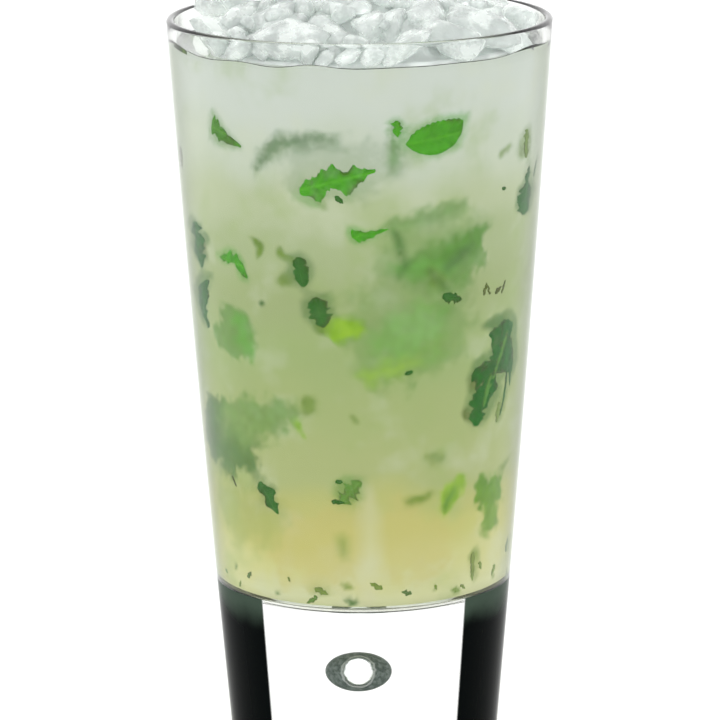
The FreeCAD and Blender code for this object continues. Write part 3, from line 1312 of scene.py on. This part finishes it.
    Scrap(Cut.ROUND, Tone.OLIVE, 28.4, 66.5, 4.4, 4.8, 4.0, 0, 0.60),
    Scrap(Cut.WEDGE, Tone.OLIVE, 65.5, 62.6, 2.6, 4.8, 2.6, 40, 0.48),
    Scrap(Cut.STRIP, Tone.OLIVE, 49.6, 42.6, 0.9, 6.0, 1.6, -86, 0.20, fold=0.1),
    Scrap(Cut.ROUND, Tone.OLIVE, 47.6, 44.8, 1.2, 1.8, 1.6, 0, 0.30),
    Scrap(Cut.STRIP, Tone.OLIVE, -7.8, 49.4, 2.4, 4.6, 2.4, -78, 0.52),
    Scrap(Cut.STRIP, Tone.BROWN, -57.3, 60.5, 0.6, 2.4, 0.6, -60),
)


@dataclass
class MintScraps:
    """All the mint in the drink. Sizes are in millimetres."""

    glass: Tumbler
    drink: Drink
    thickness: float = 0.22
    along: int = 46
    across: int = 10
    fewest_rows: int = 10
    fewest_columns: int = 4
    tooth: float = 0.09
    teeth: int = 11
    tooth_lean: float = 0.15
    lower_teeth: float = 0.3
    tears: float = 6.0
    torn: float = 0.42
    frayed: float = 0.13
    creased: float = 0.8
    crinkled: float = 0.5
    clear_of_wall: float = 0.3
    clear_of_murk: float = 0.3
    soft_from: float = 0.28
    rows_each_mm: float = 3.4
    columns_each_mm: float = 1.5
    haze_from: float = 0.9
    haze_depth: float = 7.0
    loose_count: int = 88
    loose_angles: Span = (92, 268)
    loose_heights: tuple = (42, 138, 94)
    loose_sizes: Span = (2.0, 8.0)
    loose_widths: Span = (0.5, 0.85)
    strip_width: float = 0.25
    most_haze: float = 0.75
    haze_rise: float = 0.18
    loose_depths: tuple = (0.5, 0.6, 1.4, 2.4, 3.6, 4.6)
    loose_cuts: tuple = (Cut.RAG, Cut.ROUND, Cut.WEDGE, Cut.HOOK, Cut.STRIP, Cut.LEAF)
    loose_tones: tuple = (Tone.DARK, Tone.DARK, Tone.GREEN, Tone.BRIGHT, Tone.OLIVE, Tone.LIME)
    crumb_count: int = 46
    crumb_floor: float = 37.6
    crumb_rise: float = 2.9
    crumb_sizes: Span = (1.1, 3.3)
    crumb_depths: Span = (0.35, 1.0)
    crumb_hazes: Span = (0.15, 0.34)
    crumb_tones: tuple = (Tone.DARK, Tone.OLIVE, Tone.OLIVE, Tone.GREEN)
    halo_over: float = 3.0
    halo_growth: Point = (1.12, 1.16)
    halo_margin: float = 0.6
    halo_depth: float = 2.6
    halo_haze: float = 0.62
    halo_stray: float = 0.25
    seed: int = 17

    def outline_at(self, cut: Cut, share: float, chance: random.Random, seed: float, teeth: bool) -> Point:
        """The two edges of a cut at a share of its length.

        Args:
            cut: The outline.
            share: Where along it.
            chance: Source of the torn edge's fine unevenness.
            seed: Picks the scrap's tears.
            teeth: Whether its edge is toothed, as on a whole leaf.

        Returns:
            The edges, as shares of its width.
        """
        places, uppers, lowers = zip(*cut.value)
        upper, lower = float(np.interp(share, places, uppers)), float(np.interp(share, places, lowers))
        if teeth:
            bite = self.tooth * abs((share * self.teeth) % 1.0 - self.tooth_lean)
            return upper - bite, lower + self.lower_teeth * bite
        span, here = upper - lower, share * self.tears
        over = self.torn * abs(noise.noise(Vector((here, seed, 0.0)))) + chance.uniform(0, self.frayed)
        under = self.torn * abs(noise.noise(Vector((here, seed, 7.0)))) + chance.uniform(0, self.frayed)
        return upper - span * over, lower + span * under

    def add(self, shell: Shell, scrap: Scrap, chance: random.Random) -> None:
        """Adds one scrap, bent to the glass's round.

        Args:
            shell: Where it goes.
            scrap: The scrap.
            chance: Source of its unevenness.
        """
        turn = math.radians(scrap.turn)
        teeth = scrap.cut is Cut.LEAF
        crinkle = Vector((chance.uniform(-50, 50), chance.uniform(-50, 50), 0))
        outside, inside, tones, hazes, rims, blades = [], [], [], [], [], []
        rows = max(self.fewest_rows, min(self.along, int(self.rows_each_mm * scrap.long)))
        columns = max(self.fewest_columns, min(self.across, int(self.columns_each_mm * scrap.wide) + 2))
        for row in range(rows + 1):
            share = row / rows
            upper, lower = self.outline_at(scrap.cut, share, chance, crinkle.x, teeth)
            for column in range(columns + 1):
                place = column / columns
                over = lower + (upper - lower) * place
                u = (share - 0.5) * scrap.long
                v = over * scrap.wide + scrap.bow * scrap.long * (1 - (2 * share - 1) ** 2)
                relief = scrap.fold * scrap.wide * abs(over) * self.creased
                spot = crinkle + Vector((u, v, 0)) * 0.5
                relief += self.crinkled * scrap.fold * scrap.wide * noise.noise(spot)
                right = u * math.cos(turn) - v * math.sin(turn)
                up = u * math.sin(turn) + v * math.cos(turn)
                depth = max(self.clear_of_wall, scrap.depth + relief)
                height = scrap.height + up
                wall = self.glass.inner_radius(height)
                murk = self.drink.cloud_radius(min(height, self.drink.cloud_top))
                deepest = wall - murk - self.clear_of_murk - self.thickness
                depth = min(depth, max(deepest, self.clear_of_wall))
                around = math.radians(scrap.angle) + right / wall
                for points, extra in ((outside, 0.0), (inside, self.thickness)):
                    radius = wall - depth - extra
                    points.append((radius * math.sin(around), -radius * math.cos(around), height))
                edge = min(place, 1 - place) * (upper - lower) * scrap.wide
                edge = min(edge, share * scrap.long, (1 - share) * scrap.long)
                rims.append(edge / (0.5 * min(scrap.wide, scrap.long)))
                haze = 1 - math.exp(-max(0.0, depth - self.haze_from) / self.haze_depth)
                hazes.append(haze if scrap.haze == FROM_DEPTH else scrap.haze)
                tones.append((*scrap.tone.value, 1.0))
                blades.append((share, over, 0.0))
        self.close(shell, rows, columns, outside, inside, tones, hazes, rims, blades)

    def close(
        self,
        shell: Shell,
        rows: int,
        columns: int,
        outside: list,
        inside: list,
        *carried: list,
    ) -> None:
        """Joins a scrap's two faces round their edge and adds it.

        Args:
            shell: Where it goes.
            rows: Cells along the scrap.
            columns: Cells across it.
            outside: Points of the face that looks outwards.
            inside: Points of the other face.
            *carried: Tones, hazes, rims and blade places of one face.
        """
        width, count = columns + 1, len(outside)
        faces = []
        for a in (row * width + column for row in range(rows) for column in range(columns)):
            b, c, d = a + 1, a + width + 1, a + width
            faces.append((a, d, c, b))
            faces.append((a + count, b + count, c + count, d + count))
        rim = list(range(width))
        rim += [row * width + columns for row in range(1, rows + 1)]
        rim += [rows * width + column for column in range(columns - 1, -1, -1)]
        rim += [row * width for row in range(rows - 1, 0, -1)]
        for here, after in zip(rim, rim[1:] + rim[:1]):
            faces.append((here, after, after + count, here + count))
        tones, hazes, rims, blades = (values + values for values in carried)
        shell.add(outside + inside, faces, tone=tones, haze=hazes, rim=rims, blade=blades)

    def loose(self, chance: random.Random) -> list[Scrap]:
        """Scraps for the sides and back.

        Args:
            chance: Where their places come from.

        Returns:
            The scraps.
        """
        made = []
        for _ in range(self.loose_count):
            angle = chance.uniform(*self.loose_angles)
            height = chance.triangular(*self.loose_heights)
            depth = chance.choice(self.loose_depths)
            size = chance.uniform(*self.loose_sizes) + depth
            cut, tone = chance.choice(self.loose_cuts), chance.choice(self.loose_tones)
            wide = size * (self.strip_width if cut is Cut.STRIP else chance.uniform(*self.loose_widths))
            haze = min(self.most_haze, max(0.0, (depth - self.haze_from) * self.haze_rise))
            turn = chance.uniform(-180, 180)
            made.append(Scrap(cut, tone, angle, height, depth, size, wide, turn, haze, fold=0.2))
        return made

    def crumbs(self, chance: random.Random) -> list[Scrap]:
        """Crumbs of mint that have sunk to the floor or hang near it.

        Args:
            chance: Where their places come from.

        Returns:
            The scraps.
        """
        made = []
        for index in range(self.crumb_count):
            angle = 360.0 * index / self.crumb_count + chance.uniform(-9, 9)
            height = self.crumb_floor + abs(chance.gauss(0, 1.0)) * self.crumb_rise
            size = chance.uniform(*self.crumb_sizes)
            tone = chance.choice(self.crumb_tones)
            depth = chance.uniform(*self.crumb_depths) + max(0.0, height - 40) * 0.12
            turn = chance.uniform(-180, 180)
            haze = self.crumb_hazes[0] if index % 3 else self.crumb_hazes[1]
            made.append(Scrap(Cut.RAG, tone, angle, height, depth, size, size * 0.7, turn, haze, fold=0.2))
        return made

    def halo(self, scrap: Scrap) -> Scrap:
        """The tint a scrap near the glass leaves on the murk round it.

        Args:
            scrap: The scrap.

        Returns:
            A larger and softer scrap behind it.
        """
        long = scrap.long * self.halo_growth[0] + self.halo_margin
        wide = scrap.wide * self.halo_growth[1] + self.halo_margin
        depth = max(self.halo_depth, scrap.depth)
        return replace(
            scrap, depth=depth, long=long, wide=wide, haze=self.halo_haze, stray=self.halo_stray
        )

    def build(self) -> list[Scrap]:
        """Makes the scraps near the glass.

        Returns:
            The scraps that hang so deep that they only tint the murk.
        """
        chance = random.Random(self.seed)
        scraps = [*FRONT_SCRAPS, *self.loose(chance), *self.crumbs(chance)]
        near = [scrap for scrap in scraps if scrap.haze < self.soft_from]
        deep = [self.halo(scrap) for scrap in near if scrap.long > self.halo_over]
        deep += [scrap for scrap in scraps if scrap.haze >= self.soft_from]
        shell = Shell()
        for scrap in near:
            self.add(shell, scrap, chance)
        made = shell.piece("mint_near_the_glass", "mint_leaf", Mint().material())
        made.visible_diffuse = made.visible_shadow = False
        return deep


@dataclass
class CrushedIce:
    """The heap of crushed ice. Sizes are in millimetres."""

    glass: Tumbler
    drink: Drink
    above_rim: float = 11.0
    ceiling: float = 165.3
    edge_height: float = 2.2
    roundness: float = 2.2
    open_side: float = 176.0
    open_spread: float = 24.0
    side_gap: float = 5.4
    small: float = 1.7
    large: float = 7.2
    usual: float = 4.0
    lump_count: int = 190
    most_tries: int = 6000
    wall_gap: float = 0.5
    top_limit: float = 11.3
    most_sunk: float = 0.5
    edge_overlap: float = 0.55
    sunk_share: float = 0.62
    sunk_more: float = 1.8
    fine_from: float = 3.0
    float_share: float = 0.72
    closeness: float = 0.66
    chips: int = 11
    chip_depths: Span = (0.66, 1.0)
    edge_sharpness: float = 12.0
    least_size: float = 0.55
    narrowness: Span = (0.7, 1.0)
    flatness: Span = (0.55, 0.9)
    tip: float = 0.7
    dent: float = 0.06
    dent_scale: float = 2.4
    clear_of_wall: float = 0.3
    core_depth: float = 4.2
    core_inset: float = 2.4
    core_foot: float = 0.7
    core_rings: int = 26
    core_spokes: int = 120
    core_rough: tuple = ((0.30, 0.0, 1.3), (0.9, 9.0, 0.6))
    seed: int = 23

    def reach(self, angle: float) -> float:
        """Plan radius of the heap in a direction.

        Args:
            angle: Direction in radians from +X.

        Returns:
            The radius.
        """
        turn = (math.degrees(angle) - self.open_side + 180) % 360 - 180
        full = self.glass.inner_radius(self.drink.level) - self.drink.meniscus_width - self.clear_of_wall
        return full - self.side_gap * math.exp(-((turn / self.open_spread) ** 4))

    def dome(self, share: float) -> float:
        """Height of the heap's top at a share of its radius.

        Args:
            share: From 0 in the middle to 1 at the edge.

        Returns:
            The height above the foot.
        """
        rise = self.glass.height + self.above_rim - self.drink.level - self.edge_height
        return self.drink.level + self.edge_height + rise * (1 - min(share, 1.0) ** self.roundness)

    def lump(self, shell: Shell, centre: Vector, size: float, chance: random.Random, detail: int = 3) -> None:
        """Adds one chipped, melted lump.

        Args:
            shell: Where it goes.
            centre: Its middle.
            size: Its radius.
            chance: Source of its shape.
            detail: How finely it is divided.
        """
        ball = bmesh.new()
        bmesh.ops.create_icosphere(ball, subdivisions=detail, radius=1.0)
        ways = np.array([vert.co for vert in ball.verts])
        faces = [tuple(vert.index for vert in face.verts) for face in ball.faces]
        ball.free()
        sharp = self.edge_sharpness
        total = np.full(len(ways), self.least_size**sharp)
        for _ in range(self.chips):
            chip = Vector((chance.gauss(0, 1), chance.gauss(0, 1), chance.gauss(0, 1))).normalized()
            away = chance.uniform(*self.chip_depths)
            total += (np.clip(ways @ np.array(chip), 0, None) / away) ** sharp
        shape = ways * (total ** (-1 / sharp))[:, None]
        squeeze = np.array([1.0, chance.uniform(*self.narrowness), chance.uniform(*self.flatness)])
        spin = Matrix.Rotation(chance.uniform(0, 6.28), 3, "Z")
        spin = spin @ Matrix.Rotation(chance.uniform(-self.tip, self.tip), 3, "X")
        shape = (shape * squeeze) @ np.array(spin).T * size
        points = []
        for spot in shape:
            dent = 1 + self.dent * noise.noise(Vector(spot) * (self.dent_scale / size) + centre)
            points.append(centre + Vector(spot) * dent)
        highest = max(point.z for point in points)
        widest = max(math.hypot(point.x, point.y) - self.glass.inner_radius(point.z) for point in points)
        flat = Vector((centre.x, centre.y, 0.0)).normalized()
        lift = max(0.0, self.drink.level - self.most_sunk - min(point.z for point in points))
        shift = Vector((0.0, 0.0, min(lift, self.ceiling - highest)))
        shift -= max(0.0, widest + self.clear_of_wall) * flat
        shell.add([tuple(point + shift) for point in points], faces)

    def keep_in(self, centre: Vector, size: float) -> Vector:
        """Moves a lump's middle so that it clears the wall and the top of the heap.

        Args:
            centre: Its middle.
            size: Its radius.

        Returns:
            The middle to use.
        """
        flat = Vector((centre.x, centre.y))
        wall = self.glass.inner_radius(min(centre.z, self.glass.height)) - self.wall_gap - size
        if flat.length > wall:
            flat *= wall / flat.length
        top = self.glass.height + self.top_limit - size
        return Vector((flat.x, flat.y, min(centre.z, top)))

    def build_heap(self) -> bpy.types.Object:
        """Makes the lumps of the heap.

        Returns:
            The piece.
        """
        chance = random.Random(self.seed)
        shell, placed = Shell(), []
        tries = 0
        while len(placed) < self.lump_count and tries < self.most_tries:
            tries += 1
            angle, share = chance.uniform(-math.pi, math.pi), math.sqrt(chance.random())
            size = chance.triangular(self.small, self.large, self.usual)
            far = share * (self.reach(angle) - self.edge_overlap * size)
            height = self.dome(share) - self.sunk_share * size - chance.uniform(0, self.sunk_more)
            height = max(height, self.drink.level + self.float_share * size)
            centre = self.keep_in(Vector((far * math.cos(angle), far * math.sin(angle), height)), size)
            if any((centre - other).length < self.closeness * (size + width) for other, width in placed):
                continue
            placed.append((centre, size))
            self.lump(shell, centre, size, chance, 3 if size > self.fine_from else 2)
        LOG.info("heap: %d lumps after %d tries", len(placed), tries)
        made = shell.piece("ice_heap", "crushed_ice", Ice("crushed_ice_heap").material())
        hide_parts("ice")
        return made

    def build_core(self) -> bpy.types.Object:
        """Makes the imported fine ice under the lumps.

        Returns:
            The piece.
        """
        rings, spokes, foot_height = self.core_rings, self.core_spokes, self.drink.level - self.core_foot
        points = [(0.0, 0.0, self.dome(0) - self.core_depth)]
        for ring in range(1, rings + 1):
            share = ring / rings
            for spoke in range(spokes):
                angle = 2 * math.pi * spoke / spokes
                far = share * (self.reach(angle) - self.core_inset)
                x, y = far * math.cos(angle), far * math.sin(angle)
                rough = 0.0
                for scale, layer, rise in self.core_rough:
                    rough += rise * noise.noise(Vector((x, y, layer)) * scale)
                points.append((x, y, max(self.dome(share) - self.core_depth + rough, self.drink.level + 0.5)))
        foot = len(points)
        points += [(x, y, foot_height) for x, y, _ in points[-spokes:]]
        points.append((0.0, 0.0, foot_height))
        faces = []
        for spoke in range(spokes):
            after = (spoke + 1) % spokes
            faces.append((0, 1 + spoke, 1 + after))
            for ring in range(rings):
                inner, outer = 1 + ring * spokes, 1 + (ring + 1) * spokes
                faces.append((inner + spoke, outer + spoke, outer + after, inner + after))
            faces.append((len(points) - 1, foot + after, foot + spoke))
        shell = Shell()
        shell.add(points, faces)
        finish = Ice("crushed_ice_fine", (0.88, 0.92, 0.90), (0.82, 0.865, 0.84), 0.40, 0.4)
        made = shell.piece("ice_fine_core", "crushed_ice", finish.material())
        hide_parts("ice")
        return made


@dataclass
class Studio:
    """Floor, light and camera, in metres; lens and film in millimetres, pitch and roll in degrees."""

    camera_back: float = 1.0576
    camera_height: float = 0.306
    camera_aside: float = -0.0004
    pitch: float = 11.96
    roll: float = -0.41
    lens: float = 260.35
    film: float = 36.0
    diffuse_bounces: int = 6
    clear_bounces: int = 24
    see_through_bounces: int = 16
    floor_size: float = 9.0
    floor_rows: int = 12
    floor_drop: float = 0.0001
    sky: tuple = ((0.0, 1.0), (0.30, 0.95), (0.55, 0.62), (1.0, 0.78))
    sky_strength: float = 1.45
    lamp_place: tuple = (-0.25, 0.35, 1.3)
    lamp_aim: tuple = (0.0, 0.0, 0.1)
    lamp_size: float = 1.1
    lamp_power: float = 6.0

    def build_floor(self) -> None:
        """Lays the floor."""
        mesh = bpy.data.meshes.new("studio_floor")
        half, rows = self.floor_size / 2, self.floor_rows
        spots = [-half + self.floor_size * step / rows for step in range(rows + 1)]
        points = [(x, y, -self.floor_drop) for y in spots for x in spots]
        faces = []
        for row in range(rows):
            for column in range(rows):
                a = row * (rows + 1) + column
                faces.append((a, a + 1, a + rows + 2, a + rows + 1))
        mesh.from_pydata(points, [], faces)
        floor = bpy.data.objects.new("studio_floor", mesh)
        floor.data.materials.append(PaleFloor().material())
        bpy.context.collection.objects.link(floor)

    def build_light(self) -> None:
        """Hangs a soft lamp overhead and wraps the set in soft white light."""
        net = Net("soft_studio", world=True)
        height = net.add("SeparateXYZ", Vector=net.add("TexCoord").outputs["Generated"]).outputs["Z"]
        greys = tuple((place, (light, light, light)) for place, light in self.sky)
        sky = net.steps(height, greys, smooth=False)
        bpy.context.scene.world = net.finish(net.add("Background", Color=sky, Strength=self.sky_strength))
        lamp = bpy.data.lights.new("overhead_lamp", "AREA")
        lamp.shape, lamp.size, lamp.energy = "DISK", self.lamp_size, self.lamp_power
        hung = bpy.data.objects.new("overhead_lamp", lamp)
        hung.location = self.lamp_place
        hung.rotation_euler = (Vector(self.lamp_aim) - hung.location).to_track_quat("-Z", "Y").to_euler()
        bpy.context.collection.objects.link(hung)

    def build_camera(self) -> None:
        """Sets up the camera and how the picture is shown."""
        data = bpy.data.cameras.new("camera")
        data.sensor_width, data.lens = self.film, self.lens
        camera = bpy.data.objects.new("camera", data)
        camera.location = (self.camera_aside, -self.camera_back, self.camera_height)
        tilt = Matrix.Rotation(math.radians(90 - self.pitch), 4, "X")
        camera.rotation_euler = (tilt @ Matrix.Rotation(math.radians(self.roll), 4, "Z")).to_euler()
        bpy.context.collection.objects.link(camera)
        scene = bpy.context.scene
        scene.camera = camera
        scene.view_settings.view_transform = "Standard"
        scene.cycles.diffuse_bounces = self.diffuse_bounces
        scene.cycles.max_bounces = scene.cycles.transmission_bounces = self.clear_bounces
        scene.cycles.transparent_max_bounces = self.see_through_bounces


def main() -> None:
    """Builds everything in order."""
    logging.basicConfig(level=logging.INFO, format="%(name)s: %(message)s")
    studio = Studio()
    studio.build_camera()
    glass = Tumbler(height=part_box("glass")[1].z / MM)
    drink = Drink(glass, level=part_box("ice")[0].z / MM)
    glass.build()
    drink.build_liquid()
    deep_scraps = MintScraps(glass, drink).build()
    drink.build_cloud(deep_scraps)
    ice = CrushedIce(glass, drink)
    ice.build_heap()
    ice.build_core()
    studio.build_floor()
    studio.build_light()


if __name__ == "__main__":
    main()
